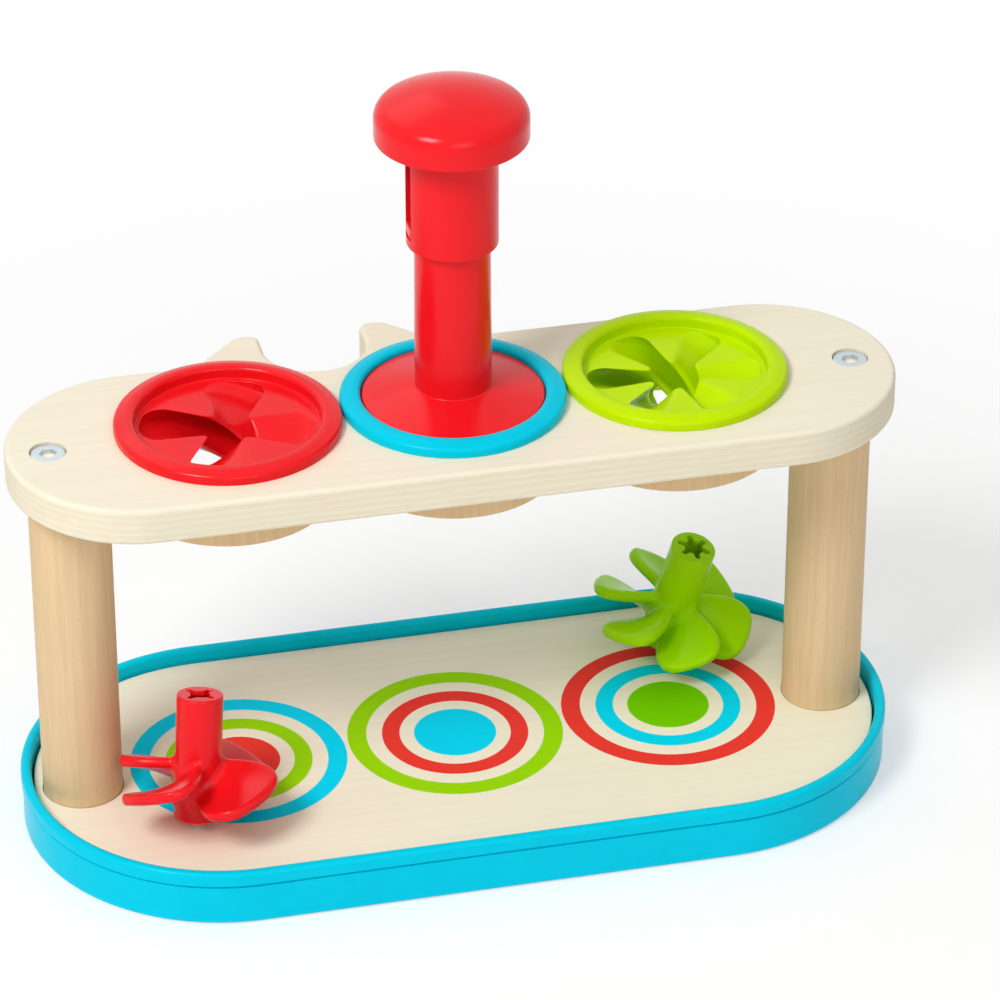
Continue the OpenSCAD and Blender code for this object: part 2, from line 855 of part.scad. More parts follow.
module at_blue_top() {
    translate([0, cup_row_y, blue_top_z]) rotate(blue_cup_turn + blue_top_turn) children();
}

module red_top() {
    color(red_colour) at_red_top() top(red_blades);
}

module red_top_pivot() {
    color(zinc_colour) at_red_top() pivot();
}

module blue_top() {
    color(blue_colour) at_blue_top() top(blue_blades);
}

module blue_top_pivot() {
    color(zinc_colour) at_blue_top() pivot();
}

module green_top() {
    color(leaf_colour) at_green_top() top(green_blades);
}

module green_top_pivot() {
    color(zinc_colour) at_green_top() pivot();
}

base_board();
base_rim();
left_post();
right_post();
shelf();
red_collar();
blue_collar();
green_collar();
red_cup();
blue_cup();
green_cup();
shelf_bolts();
base_bolts();
post_inserts();
guide_tube();
return_spring();
sleeve();
knob();
drive_rod();
red_top();
red_top_pivot();
blue_top();
blue_top_pivot();
green_top();
green_top_pivot();
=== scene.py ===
"""Finished surfaces for a push-down spinning top launcher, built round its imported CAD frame."""

import json
import math
from functools import partialmethod

import bmesh
import bpy
from bpy.props import FloatProperty, FloatVectorProperty, PointerProperty
from mathutils import Matrix, Vector


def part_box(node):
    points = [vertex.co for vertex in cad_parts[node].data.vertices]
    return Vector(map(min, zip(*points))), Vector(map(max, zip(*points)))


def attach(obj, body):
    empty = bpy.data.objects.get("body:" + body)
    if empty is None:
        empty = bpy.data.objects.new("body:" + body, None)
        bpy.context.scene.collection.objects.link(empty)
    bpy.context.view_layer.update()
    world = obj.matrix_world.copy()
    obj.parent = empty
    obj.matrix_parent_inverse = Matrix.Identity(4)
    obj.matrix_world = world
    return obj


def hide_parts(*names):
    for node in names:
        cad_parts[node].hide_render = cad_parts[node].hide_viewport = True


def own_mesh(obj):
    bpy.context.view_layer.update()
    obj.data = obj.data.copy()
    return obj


bl_info = {
    "name": "Spinning top launcher",
    "version": (1, 0, 0),
    "blender": (4, 5, 0),
    "location": "View3D > Sidebar > Launcher",
    "description": "Dresses the packed launcher with finished wood, plastic and metal",
    "category": "Object",
}

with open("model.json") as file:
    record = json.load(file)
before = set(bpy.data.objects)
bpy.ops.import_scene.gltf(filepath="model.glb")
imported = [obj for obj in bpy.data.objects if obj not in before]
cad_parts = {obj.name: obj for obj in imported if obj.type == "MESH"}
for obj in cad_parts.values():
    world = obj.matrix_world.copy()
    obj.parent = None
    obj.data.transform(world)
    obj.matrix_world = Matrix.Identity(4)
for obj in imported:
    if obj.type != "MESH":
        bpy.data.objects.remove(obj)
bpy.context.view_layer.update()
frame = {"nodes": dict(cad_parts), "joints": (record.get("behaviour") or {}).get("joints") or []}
MM = 0.001

# Sizes of the CAD source that more than one piece needs, in millimetres
CUP_HOLE_R = 29.4
RIM_WIDTH = 6.4
CUP_LEDGE = 1.4
HEAD_R = 5.5
HEAD_HEIGHT = 1.6
STEM_R = 7.25
STEM_TOP = 44.0

# Blades of each top and vanes of its cup, and how finely round forms are divided
BLADES = {"red": 4, "blue": 5, "green": 6}
BOARD_SEGMENTS = 72
SLIM_SEGMENTS = 96
ROUND_SEGMENTS = 128
CUP_SEGMENTS = 160


# Places and sizes taken from the frame, in millimetres


def low(node):
    """Lowest corner of a CAD node."""
    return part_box(node)[0] / MM


def high(node):
    """Highest corner of a CAD node."""
    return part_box(node)[1] / MM


def middle(node):
    """Middle of a CAD node's box."""
    return (low(node) + high(node)) / 2


def half_width(node):
    """Half of a CAD node's width along the stand."""
    return (high(node).x - low(node).x) / 2


def heights(node):
    """Bottom and top of a CAD node."""
    return low(node).z, high(node).z


def round_box(node):
    """Middle, radius, bottom and top of a round upright CAD node."""
    return middle(node), half_width(node), *heights(node)


def joint(name):
    """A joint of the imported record."""
    return next(j for j in frame["joints"] if j["name"] == name)


# User settings


def length(name, description, millimetres):
    """A length setting, given in millimetres."""
    return FloatProperty(
        name=name, description=description, default=millimetres * MM, unit="LENGTH", precision=5
    )


def degrees(name, description, angle):
    """An angle setting, given in degrees."""
    return FloatProperty(
        name=name, description=description, default=math.radians(angle), unit="ROTATION"
    )


def colour(name, description, code):
    """A colour setting, given as a six-digit display code."""
    channels = [int(code[i : i + 2], 16) / 255 for i in (0, 2, 4)]
    linear = [c / 12.92 if c <= 0.04045 else ((c + 0.055) / 1.055) ** 2.4 for c in channels]
    return FloatVectorProperty(
        name=name, description=description, default=linear, subtype="COLOR", size=3, min=0, max=1
    )


class LauncherSizes(bpy.types.PropertyGroup):
    """Sizes of the details that are finer than the frame."""

    rim_round: length("Base rim rounding", "Upper edge of the base rim", 1.4)
    shelf_ease: length("Shelf rounding", "Edges of the shelf", 1.6)
    board_ease: length("Board rounding", "Edges of the base board", 0.6)
    post_ease: length("Post rounding", "Ends of the posts", 0.6)
    vane_height: length("Vane height", "Height of the vanes in the cups", 20)
    vane_ease: length("Vane rounding", "Edges of the vanes in the cups", 0.9)
    blade_thickness: length("Blade thickness", "Thickness of the tops' blades", 3.6)
    blade_height: length("Blade height", "Height of a blade along the stem", 14)
    blade_start: length("Blade start", "Height of the blades above the foot", 9)
    blade_climb: length("Blade climb", "Climb of the screw from one blade to the next", 12)
    blade_fillet: length("Blade fillet", "Hollow rounding between a blade and its stem", 2.0)
    ring_outer: length("Outer ring", "Outside radius of a printed target", 34.35)
    ring_band: length("Outer band", "Inside radius of the outer printed ring", 28.3)
    ring_middle: length("Middle ring", "Outside radius of the middle printed ring", 23.3)
    ring_gap: length("Middle band", "Inside radius of the middle printed ring", 17.7)
    ring_disc: length("Disc", "Radius of the printed disc", 13.1)
    red_top_turn: degrees("Red top turn", "Turn of the red top about its stem", 39)
    green_top_turn: degrees("Green top turn", "Turn of the green top about its stem", 34)
    red_cup_turn: degrees("Red cup turn", "Turn of the red cup's slots at their upper side", 75)
    blue_cup_turn: degrees("Blue cup turn", "Turn of the blue cup's slots at their upper side", 36)
    green_cup_turn: degrees("Green cup turn", "Turn of the green cup's slots at their upper side", 55)


class LauncherColours(bpy.types.PropertyGroup):
    """Colours of the woods, plastics, prints and metal."""

    ply: colour("Plywood", "Pale face veneer of the board and the shelf", "eee6d0")
    ply_core: colour("Plywood core", "Darker layers on the plywood's edges", "e0cfaa")
    beech: colour("Beech", "Dowel posts", "dec197")
    beech_fleck: colour("Beech fleck", "Fine flecks in the dowels", "c79a68")
    red: colour("Red plastic", "Red cup, plunger and top", "ea151d")
    blue: colour("Blue plastic", "Base rim, blue cup and blue top", "00c9e4")
    lime: colour("Lime plastic", "Green cup", "bee400")
    leaf: colour("Leaf plastic", "Green top", "a2de00")
    print_red: colour("Red print", "Red ink of the targets", "ec3a30")
    print_blue: colour("Blue print", "Blue ink of the targets", "00d5f4")
    print_green: colour("Green print", "Green ink of the targets' rings", "99d600")
    print_disc: colour("Green disc", "Green ink of the right target's disc", "74ca00")
    collar: colour("Collar", "Turned rings under the shelf", "e2c294")
    zinc: colour("Zinc", "Bolts, inserts, spring and pivot pins", "d2dde2")
    nylon: colour("Nylon", "Rod inside the plunger", "e8e4da")


# Shader building


class Wire:
    """A shader socket that takes part in Python arithmetic; each operation adds a node."""

    def __init__(self, paint, socket):
        self.paint = paint
        self.socket = socket

    def combine(self, operation, reflected, other):
        """Adds the node of one operation, on numbers or on vectors."""
        first, second = (other, self) if reflected else (self, other)
        kind = "ShaderNodeVectorMath" if self.socket.type == "VECTOR" else "ShaderNodeMath"
        return self.paint.add(kind, {"operation": operation}, {0: first, 1: second})

    __add__ = partialmethod(combine, "ADD", False)
    __radd__ = partialmethod(combine, "ADD", True)
    __sub__ = partialmethod(combine, "SUBTRACT", False)
    __rsub__ = partialmethod(combine, "SUBTRACT", True)
    __mul__ = partialmethod(combine, "MULTIPLY", False)
    __rmul__ = partialmethod(combine, "MULTIPLY", True)
    __truediv__ = partialmethod(combine, "DIVIDE", False)
    __rtruediv__ = partialmethod(combine, "DIVIDE", True)
    __gt__ = partialmethod(combine, "GREATER_THAN", False)


class Paint:
    """The node tree of one procedural material, or of the world."""

    def __init__(self, name, tree=None):
        if tree is None:
            self.material = bpy.data.materials.new(name)
            self.material.use_nodes = True
            tree = self.material.node_tree
        self.tree = tree
        self.tree.nodes.clear()

    def add(self, kind, settings=None, inputs=None, output=0):
        """Adds a shader node: its settings first, then the values or links of its sockets."""
        node = self.tree.nodes.new(kind)
        for key, value in (settings or {}).items():
            setattr(node, key, value)
        for key, value in (inputs or {}).items():
            socket = node.inputs[key]
            if isinstance(value, Wire):
                self.tree.links.new(value.socket, socket)
            elif socket.type == "RGBA" and len(value) == 3:
                socket.default_value = (*value, 1)
            elif socket.type == "VECTOR" and not hasattr(value, "__len__"):
                socket.default_value = (value, value, value)
            else:
                socket.default_value = value
        return Wire(self, node.outputs[output]) if len(node.outputs) else None

    def place(self):
        """Position in the frame, in millimetres."""
        return self.add("ShaderNodeTexCoord", output="Object") * (1 / MM)

    def axes(self, vector):
        """The three numbers of a vector."""
        node = self.add("ShaderNodeSeparateXYZ", inputs={0: vector}).socket.node
        return [Wire(self, socket) for socket in node.outputs]

    def level(self):
        """1 on a level surface, facing up or down, and 0 on an upright one."""
        facing = self.axes(self.add("ShaderNodeNewGeometry", output="Normal"))
        return self.add("ShaderNodeMath", {"operation": "ABSOLUTE"}, {0: facing[2]})

    def distance(self, vector):
        """Length of a vector."""
        return self.add("ShaderNodeVectorMath", {"operation": "LENGTH"}, {0: vector}, output="Value")

    def noise(self, vector, scale, detail=2.0, roughness=0.5):
        """Cloudy value from 0 to 1; scale is in features per millimetre."""
        inputs = {"Vector": vector, "Scale": scale, "Detail": detail, "Roughness": roughness}
        return self.add("ShaderNodeTexNoise", inputs=inputs)

    def ease(self, value, start, end):
        """0 before start, 1 after end and a smooth rise between."""
        inputs = {"Value": value, "From Min": start, "From Max": end}
        return self.add("ShaderNodeMapRange", {"interpolation_type": "SMOOTHSTEP"}, inputs)

    def mix(self, share, first, second):
        """Colour between first and second."""
        inputs = {"Factor": share, 6: first, 7: second}
        return self.add("ShaderNodeMix", {"data_type": "RGBA"}, inputs, output=2)

    def bump(self, height, distance, strength):
        """Surface direction with fine relief; distance is in millimetres."""
        inputs = {"Strength": strength, "Distance": distance * MM, "Height": height}
        return self.add("ShaderNodeBump", inputs=inputs)

    def finish(self, shade, rough, normal, more):
        """The material's surface."""
        inputs = {"Base Color": shade, "Roughness": rough, "Normal": normal, **more}
        shader = self.add("ShaderNodeBsdfPrincipled", inputs=inputs)
        self.add("ShaderNodeOutputMaterial", inputs={"Surface": shader})


SHINE = "Specular IOR Level"


def scaled(shade, factor):
    """A colour made lighter or darker."""
    return tuple(min(1.0, channel * factor) for channel in shade)


def plastic(name, shade, gloss, sheen):
    """Moulded plastic: cloudy colour and a fine skin, with gloss as roughness and sheen as shine."""
    paint = Paint(name)
    place = paint.place()
    cloud = paint.noise(place, 0.07, 3)
    skin = paint.noise(place, 2.2, 3, 0.6)
    dust = paint.ease(paint.noise(place, 0.9, 4, 0.65), 0.56, 0.8)
    base = paint.mix(cloud, scaled(shade, 0.93), scaled(shade, 1.05))
    rough = gloss + 0.05 * cloud + 0.09 * dust
    paint.finish(base, rough, paint.bump(skin, 0.02, 0.35), {SHINE: sheen})


def veneer(paint, place, ply, core):
    """Colour, roughness and relief of birch plywood: long grain on faces, layers on edges."""
    height = paint.axes(place)[2]
    drift = paint.noise(place * (0.006, 0.03, 0.03), 1.0, 2) - 0.5
    grain = paint.noise(place * (0.012, 0.42, 0.42) + drift, 1.0, 4, 0.6)
    pores = paint.noise(place * (0.12, 3.4, 3.4), 1.0, 2, 0.5)
    streak = paint.ease(pores, 0.6, 0.78)
    cloud = paint.noise(place * (0.008, 0.02, 0.02), 1.0, 2)
    face = paint.mix(paint.ease(grain, 0.3, 0.72), scaled(ply, 0.975), scaled(ply, 1.015))
    face = paint.mix(0.16 * streak, face, core)
    face = paint.mix(paint.ease(cloud, 0.35, 0.75) * 0.3, face, scaled(ply, 0.955))
    # Layers repeat up the edge, a little wavy, and alternate long grain with end grain
    layer_pair = 2.4
    wave = paint.noise(place * (0.03, 0.03, 0.12), 1.0, 3) * 0.9
    layer = paint.add("ShaderNodeMath", {"operation": "FRACT"}, {0: height / layer_pair + wave})
    end_grain = paint.ease(layer, 0.38, 0.46) - paint.ease(layer, 0.9, 0.98)
    glue = paint.ease(layer, 0.32, 0.38) - paint.ease(layer, 0.4, 0.48)
    fibre = paint.noise(place * (0.16, 0.16, 3.2), 1.0, 4, 0.65)
    speck = paint.noise(place * (1.1, 1.1, 2.6), 1.0, 3, 0.6)
    edge = paint.mix(end_grain * (0.1 + 0.4 * speck), scaled(ply, 0.94), core)
    edge = paint.mix(glue * 0.16, edge, scaled(core, 0.86))
    edge = paint.mix(paint.ease(fibre, 0.45, 0.8) * 0.6, edge, scaled(core, 0.93))
    side = 1 - paint.ease(paint.level(), 0.35, 0.75)
    shade = paint.mix(side, face, edge)
    rough = 0.5 + 0.1 * grain + 0.08 * side
    relief = 0.5 * grain + 0.35 * pores + 0.4 * (side * fibre)
    return shade, rough, relief


def plywood(name, ply, core):
    """Bare birch plywood under a thin matt lacquer."""
    paint = Paint(name)
    shade, rough, relief = veneer(paint, paint.place(), ply, core)
    paint.finish(shade, rough, paint.bump(relief, 0.05, 0.5), {SHINE: 0.06})


def printed_plywood(name, ply, core, targets, radii, face_height):
    """The base board: plywood with three printed ring targets on its upper face."""
    paint = Paint(name)
    place = paint.place()
    shade, rough, relief = veneer(paint, place, ply, core)
    fibre = paint.noise(place * (0.05, 1.6, 1.6), 1.0, 3, 0.6)
    ink_depth, blur, ragged = 0.2, 0.08, 0.12
    upper = paint.axes(place)[2] > face_height - ink_depth
    ink_cover = 0.0
    for (centre_x, centre_y), inks in targets:
        away = paint.distance((place - (centre_x, centre_y, 0)) * (1, 1, 0))
        away = away + (fibre - 0.5) * ragged
        for ink, (inner, outer) in zip(inks, radii):
            band = 1 - paint.ease(away, outer - blur, outer + blur)
            if inner > 0:
                band = band * paint.ease(away, inner - blur, inner + blur)
            band = band * upper
            tone = paint.mix(fibre, scaled(ink, 0.93), scaled(ink, 1.06))
            shade = paint.mix(band, shade, tone)
            ink_cover = ink_cover + band
    rough = rough - 0.12 * ink_cover
    paint.finish(shade, rough, paint.bump(relief, 0.05, 0.5), {SHINE: 0.03})


def beech(name, wood, fleck, shift):
    """Turned beech dowel: long vertical grain with short dark flecks."""
    paint = Paint(name)
    place = paint.place() + (shift, 0.4 * shift, 0)
    wander = (paint.noise(place * (0.05, 0.05, 0.012), 1.0, 2) - 0.5) * 2.4
    x, y, z = paint.axes(place)
    spot = paint.add("ShaderNodeCombineXYZ", inputs={0: x + wander, 1: y + wander, 2: z * 0.016})
    grain = paint.noise(spot * (0.55, 0.55, 1.0), 1.0, 4, 0.62)
    fine = paint.noise(spot * (3.2, 3.2, 5.0), 1.0, 3, 0.6)
    dash = paint.ease(paint.noise(place * (3.4, 3.4, 0.33), 1.0, 2, 0.5), 0.63, 0.74)
    shade = paint.mix(paint.ease(grain, 0.3, 0.7), scaled(wood, 0.93), scaled(wood, 1.04))
    shade = paint.mix(paint.ease(fine, 0.4, 0.75) * 0.4, shade, scaled(wood, 0.87))
    shade = paint.mix(dash * 0.45, shade, fleck)
    end = paint.ease(paint.level(), 0.7, 0.9)
    shade = paint.mix(end * 0.5, shade, scaled(fleck, 0.9))
    relief = 0.6 * fine + 0.4 * grain - 0.6 * dash
    rough = 0.46 + 0.12 * fine + 0.06 * dash
    paint.finish(shade, rough, paint.bump(relief, 0.06, 0.5), {SHINE: 0.06})


def metal(name, shade):
    """Zinc-plated steel: cloudy plating with fine turning marks."""
    paint = Paint(name)
    place = paint.place()
    cloud = paint.noise(place, 0.8, 4, 0.6)
    marks = paint.noise(place * (1.0, 1.0, 14.0), 1.0, 3, 0.6)
    tone = paint.mix(cloud, scaled(shade, 0.82), scaled(shade, 1.05))
    rough = 0.27 + 0.16 * cloud + 0.06 * marks
    paint.finish(tone, rough, paint.bump(marks, 0.015, 0.4), {"Metallic": 1.0})


# Mesh building, in millimetres


def arc(x, y, radius, start, end, steps):
    """Points on an arc, from start to end degrees."""
    angles = [math.radians(start + (end - start) * k / steps) for k in range(steps + 1)]
    return [(x + radius * math.cos(a), y + radius * math.sin(a)) for a in angles]


def rounded(corners, steps=5, closed=False):
    """Outline through (x, y, radius) corners, each corner turned into an arc of its radius."""
    points = []
    count = len(corners)
    for i, (x, y, radius) in enumerate(corners):
        if radius == 0 or (not closed and i in (0, count - 1)):
            points.append((x, y))
            continue
        corner = Vector((x, y))
        before = (Vector(corners[i - 1][:2]) - corner).normalized()
        after = (Vector(corners[(i + 1) % count][:2]) - corner).normalized()
        half = before.angle(after) / 2
        centre = corner + (before + after).normalized() * radius / math.sin(half)
        first = corner + before * radius / math.tan(half) - centre
        last = corner + after * radius / math.tan(half) - centre
        turn = math.atan2(first.x * last.y - first.y * last.x, first.dot(last))
        for k in range(steps + 1):
            spoke = Matrix.Rotation(turn * k / steps, 2) @ first
            points.append(tuple(centre + spoke))
    return points


def wall(inner, outer, bottom, top, rounds):
    """Corners of a box outline, from the inner bottom round to the inner top, with their roundings."""
    corners = ((inner, bottom), (outer, bottom), (outer, top), (inner, top))
    return [(*corner, radius) for corner, radius in zip(corners, rounds)]


def round_stations(x, y, segments):
    """Stations of a full turn about one centre."""
    turns = [2 * math.pi * k / segments for k in range(segments)]
    return [(Vector((x, y)), Vector((math.cos(a), math.sin(a)))) for a in turns]


def track_stations(straight, segments):
    """Stations round two straight sides and two round ends."""
    stations = []
    for side, start in ((1, -90), (-1, 90)):
        for k in range(segments + 1):
            a = math.radians(start + 180 * k / segments)
            stations.append((Vector((side * straight, 0)), Vector((math.cos(a), math.sin(a)))))
    return stations


def sweep(form, stations, outline, closed=False):
    """Carries an outline of (reach, height) points round the stations; an open one is capped."""
    rings = [
        [form.verts.new((c.x + d.x * reach, c.y + d.y * reach, z)) for c, d in stations]
        for reach, z in outline
    ]
    join_rings(form, rings, closed)


def join_rings(form, rings, closed=False):
    """Skin through rings of equal length; an open row of rings is capped at both ends."""
    count = len(rings[0])
    faces = []
    following = rings[1:] + rings[:1] if closed else rings[1:]
    for first, second in zip(rings, following):
        for k in range(count):
            n = (k + 1) % count
            faces.append(form.faces.new((first[k], first[n], second[n], second[k])))
    if not closed:
        faces.append(form.faces.new(list(reversed(rings[0]))))
        faces.append(form.faces.new(rings[-1]))
    return faces


def slab(form, plan, bottom, top, ease, twist=0.0, levels=1, steps=4):
    """Adds a plate with rounded edges, twisted by an angle from bottom to top; gives its points."""
    count = len(plan)
    inward = []
    for i in range(count):
        along = Vector(plan[(i + 1) % count]) - Vector(plan[i - 1])
        inward.append(Vector((-along.y, along.x)).normalized())
    quarter = [math.pi / 2 * k / steps for k in range(steps + 1)]
    rows = [(ease * (1 - math.sin(a)), bottom + ease * (1 - math.cos(a))) for a in quarter]
    for k in range(1, levels):
        rows.append((0.0, bottom + ease + (top - bottom - 2 * ease) * k / levels))
    rows += [(inset, top + bottom - z) for inset, z in reversed(rows[: steps + 1])]
    rings = []
    for inset, z in rows:
        spin = Matrix.Rotation(twist * (z - bottom) / (top - bottom), 2)
        ring = [spin @ (Vector(p) + n * inset) for p, n in zip(plan, inward)]
        rings.append([form.verts.new((p.x, p.y, z)) for p in ring])
    join_rings(form, rings)
    return [vert for ring in rings for vert in ring]


def cylinder(form, x, y, radius, bottom, top, segments=64):
    """A plain round solid, used as a cutter."""
    sweep(form, round_stations(x, y, segments), [(radius, bottom), (radius, top)])


def solid(name, form):
    """Object from a form in millimetres."""
    bmesh.ops.recalc_face_normals(form, faces=form.faces)
    bmesh.ops.scale(form, vec=(MM, MM, MM), verts=form.verts)
    mesh = bpy.data.meshes.new(name)
    form.to_mesh(mesh)
    form.free()
    piece = bpy.data.objects.new(name, mesh)
    bpy.context.scene.collection.objects.link(piece)
    return piece


def lathe(name, centre, outline, segments, closed=False):
    """Object turned about an upright axis."""
    form = bmesh.new()
    sweep(form, round_stations(centre.x, centre.y, segments), outline, closed)
    return solid(name, form)


def settle(piece):
    """Applies a piece's modifiers to its mesh."""
    depsgraph = bpy.context.evaluated_depsgraph_get()
    mesh = bpy.data.meshes.new_from_object(piece.evaluated_get(depsgraph), depsgraph=depsgraph)
    piece.modifiers.clear()
    piece.data = mesh


def carve(piece, form):
    """Cuts a form out of a piece."""
    cutter = solid(piece.name + "_cut", form)
    cut = piece.modifiers.new("cut", "BOOLEAN")
    cut.operation = "DIFFERENCE"
    cut.solver = "EXACT"
    cut.object = cutter
    settle(piece)
    bpy.data.objects.remove(cutter)


def coat(piece, finish):
    """Gives a piece one material made by the finishes operator."""
    piece.data.materials.clear()
    piece.data.materials.append(bpy.data.materials[finish])


def dress(piece, finish, body, node, crease=38):
    """Shades a piece, gives it its finish and sets it on its body in place of a CAD node."""
    mesh = piece.data
    mesh.shade_smooth()
    mesh.set_sharp_from_angle(angle=math.radians(crease))
    weigh = piece.modifiers.new("weigh", "WEIGHTED_NORMAL")
    weigh.keep_sharp = True
    weigh.weight = 80
    settle(piece)
    coat(piece, finish)
    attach(piece, body)
    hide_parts(node)


class LAUNCHER_OT_finishes(bpy.types.Operator):
    """Makes the woods, plastics and metals"""

    bl_idname = "launcher.finishes"
    bl_label = "Finishes"

    def execute(self, context):
        sizes = context.scene.launcher_sizes
        colours = context.scene.launcher_colours
        row_y = middle("blue_cup").y
        spacing = middle("green_cup").x
        red, blue, green = colours.print_red, colours.print_blue, colours.print_green
        targets = [
            ((-spacing, row_y), (blue, green, red)),
            ((0, row_y), (green, red, blue)),
            ((spacing, row_y), (red, blue, colours.print_disc)),
        ]
        radii = [
            (sizes.ring_band / MM, sizes.ring_outer / MM),
            (sizes.ring_gap / MM, sizes.ring_middle / MM),
            (0, sizes.ring_disc / MM),
        ]
        core, fleck = colours.ply_core, colours.beech_fleck
        board_tone, right_tone = 1.04, 1.02
        board_ply = scaled(colours.ply, board_tone)
        printed_plywood("printed_plywood", board_ply, core, targets, radii, high("base_board").z)
        plywood("birch_plywood", colours.ply, core)
        beech("beech_left", colours.beech, fleck, shift=0)
        beech("beech_right", scaled(colours.beech, right_tone), fleck, shift=37)
        beech("turned_ring", colours.collar, fleck, shift=71)
        plastic("red_gloss", colours.red, gloss=0.17, sheen=0.2)
        plastic("blue_satin", colours.blue, gloss=0.2, sheen=0.05)
        plastic("lime_gloss", colours.lime, gloss=0.17, sheen=0.06)
        plastic("leaf_satin", colours.leaf, gloss=0.2, sheen=0.08)
        plastic("nylon_satin", colours.nylon, gloss=0.34, sheen=0.2)
        metal("zinc_plate", colours.zinc)
        return {"FINISHED"}


class LAUNCHER_OT_base(bpy.types.Operator):
    """Makes the base rim and the printed base board"""

    bl_idname = "launcher.base"
    bl_label = "Base"

    def execute(self, context):
        sizes = context.scene.launcher_sizes
        outer = high("base_rim").y
        top = high("base_rim").z
        straight = high("base_rim").x - outer
        board_r = high("base_board").y
        board_low, board_top = heights("base_board")
        board_gap, lip_reach, lip_height, ledge = 0.8, 0.4, 4.6, 8
        groove_depth, groove_height, groove_slope = 0.6, 0.9, 0.2
        crisp, soft, foot_round = 0.2, 0.3, 0.8
        inner = board_r + board_gap
        wall_r = outer - lip_reach
        groove_r = wall_r - groove_depth
        lip = top - lip_height
        edge = sizes.rim_round / MM
        corners = [
            (inner - ledge, 0, soft),
            (wall_r, 0, foot_round),
            (wall_r, lip - groove_height, crisp),
            (groove_r, lip - groove_height + groove_slope, crisp),
            (groove_r, lip, crisp),
            (outer, lip, crisp),
            (outer, top, edge),
            (inner, top, edge),
            (inner, board_low, soft),
            (inner - ledge, board_low, soft),
        ]
        section = rounded(corners, closed=True)
        form = bmesh.new()
        sweep(form, track_stations(straight, BOARD_SEGMENTS), section, closed=True)
        rim = solid("moulded_rim", form)
        dress(rim, "blue_satin", "stand", "base_rim")

        ease = sizes.board_ease / MM
        cap_inset = 4
        cap_r = board_r - cap_inset
        profile = rounded(wall(cap_r, board_r, board_low, board_top, (0, ease, ease, 0)))
        form = bmesh.new()
        sweep(form, track_stations(straight, BOARD_SEGMENTS), profile)
        board = solid("printed_board", form)
        cuts = bmesh.new()
        post_x = middle("right_post").x
        post_gap, over = 0.25, 2
        seat_r = half_width("right_post") + post_gap
        seat_low = low("right_post").z
        for side in (-1, 1):
            cylinder(cuts, side * post_x, 0, seat_r, seat_low, board_top + over, SLIM_SEGMENTS)
        carve(board, cuts)
        dress(board, "printed_plywood", "stand", "base_board")
        return {"FINISHED"}


class LAUNCHER_OT_posts(bpy.types.Operator):
    """Makes the two dowel posts"""

    bl_idname = "launcher.posts"
    bl_label = "Posts"

    def execute(self, context):
        sizes = context.scene.launcher_sizes
        ease, cap_inset = sizes.post_ease / MM, 3
        for node, finish in (("left_post", "beech_left"), ("right_post", "beech_right")):
            centre, radius, bottom, top = round_box(node)
            cap_r = radius - cap_inset
            corners = [
                (cap_r, bottom, 0),
                (radius, bottom, ease),
                (radius, (bottom + top) / 2, 0),
                (radius, top, ease),
                (cap_r, top, 0),
            ]
            profile = rounded(corners, steps=4)
            post = lathe("dowel_" + node, centre, profile, SLIM_SEGMENTS)
            dress(post, finish, "stand", node)
        return {"FINISHED"}


def shelf_plan():
    """Plan of the shelf: round ends, and a hook with two prongs at the back."""
    reach_x, back = high("shelf").x, -low("shelf").y
    straight = reach_x - back
    hook_x = middle("red_cup").x / 2
    end = high("shelf").y
    notch_r, notch_bite, prong_width = 16.0, 11.0, 11.0
    notch_y = back - notch_bite + notch_r
    ease, turn_r, flank_r = 3.0, 6.0, 9.0
    turn_x, turn_y = notch_r + prong_width - turn_r, end - turn_r
    flank_x = turn_x + turn_y - back + turn_r * math.sqrt(2)
    run = flank_r * math.tan(math.radians(22.5))
    half = arc(flank_x + run, back + flank_r, flank_r, -90, -135, 8)
    half += arc(turn_x, turn_y, turn_r, 45, 90, 8)
    half += arc(notch_r + ease, end - ease, ease, 90, 180, 8)
    half += arc(0, notch_y, notch_r, 0, -90, 24)
    plan = arc(straight, 0, back, -90, 90, 64)
    plan += [(hook_x + x, y) for x, y in half]
    plan += [(hook_x - x, y) for x, y in reversed(half[:-1])]
    plan += arc(-straight, 0, back, 90, 270, 64)
    return plan


class LAUNCHER_OT_shelf(bpy.types.Operator):
    """Makes the shelf with its hook, and the wooden collars under it"""

    bl_idname = "launcher.shelf"
    bl_label = "Shelf and collars"

    def execute(self, context):
        sizes = context.scene.launcher_sizes
        bottom, top = heights("shelf")
        form = bmesh.new()
        slab(form, shelf_plan(), bottom, top, sizes.shelf_ease / MM, steps=5)
        shelf = solid("plywood_shelf", form)
        cuts = bmesh.new()
        collars = ("red_collar", "blue_collar", "green_collar")
        over, head_gap = 2, 0.2
        for node in collars:
            centre = middle(node)
            cylinder(cuts, centre.x, centre.y, CUP_HOLE_R, bottom - over, top + over, ROUND_SEGMENTS)
        head_x = high("shelf_bolts").x - HEAD_R
        head_low = high("shelf_bolts").z - HEAD_HEIGHT
        for side in (-1, 1):
            cylinder(cuts, side * head_x, 0, HEAD_R + head_gap, head_low, top + over)
        carve(shelf, cuts)
        dress(shelf, "birch_plywood", "stand", "shelf")

        for node in collars:
            centre, radius, collar_low, collar_top = round_box(node)
            corners = wall(CUP_HOLE_R, radius, collar_low, collar_top, (0.5, 0.8, 0.2, 0.2))
            section = rounded(corners, steps=4, closed=True)
            collar = lathe("turned_" + node, centre, section, ROUND_SEGMENTS, closed=True)
            dress(collar, "turned_ring", "stand", node)
        return {"FINISHED"}


